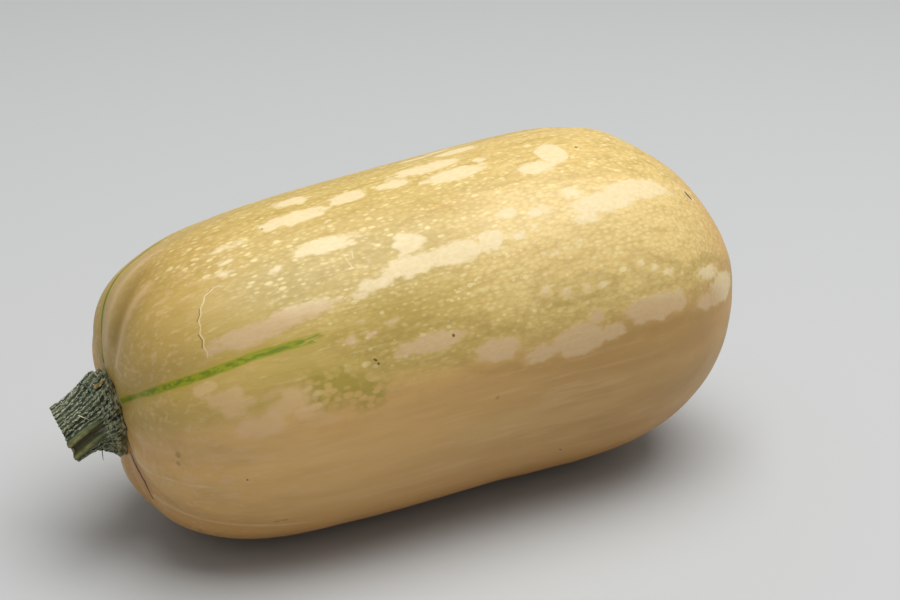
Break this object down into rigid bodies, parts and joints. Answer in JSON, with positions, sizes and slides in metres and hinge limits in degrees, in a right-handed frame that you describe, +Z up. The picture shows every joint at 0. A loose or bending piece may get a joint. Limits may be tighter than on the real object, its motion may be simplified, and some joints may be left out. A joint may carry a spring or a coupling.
{
  "type": "butternut squash",
  "caption": "Whole butternut squash lying on its side, almost straight-sided, with a shallowly lobed stem end and a short ridged stub of cut stem.",
  "frame": {"origin": "on the ground under the middle of the whole squash as it lies, the centre of its bounding box's bottom", "axes": "+X along the fruit from the stem to the blossom end, +Z up, +Y completing the right-handed frame; the picture was taken from the -Y side, looking a little towards +X"},
  "size_m": [0.2534, 0.1252, 0.121],
  "materials": {
    "skin": "satin waxy rind, ochre above and peach-tan below, with cream patches and green veins",
    "stem": "dry dark green stalk with rows of pale corky flecks"
  },
  "bodies": {
    "root": {"fruit": "skin", "stem": "stem"}
  },
  "joints": []
}
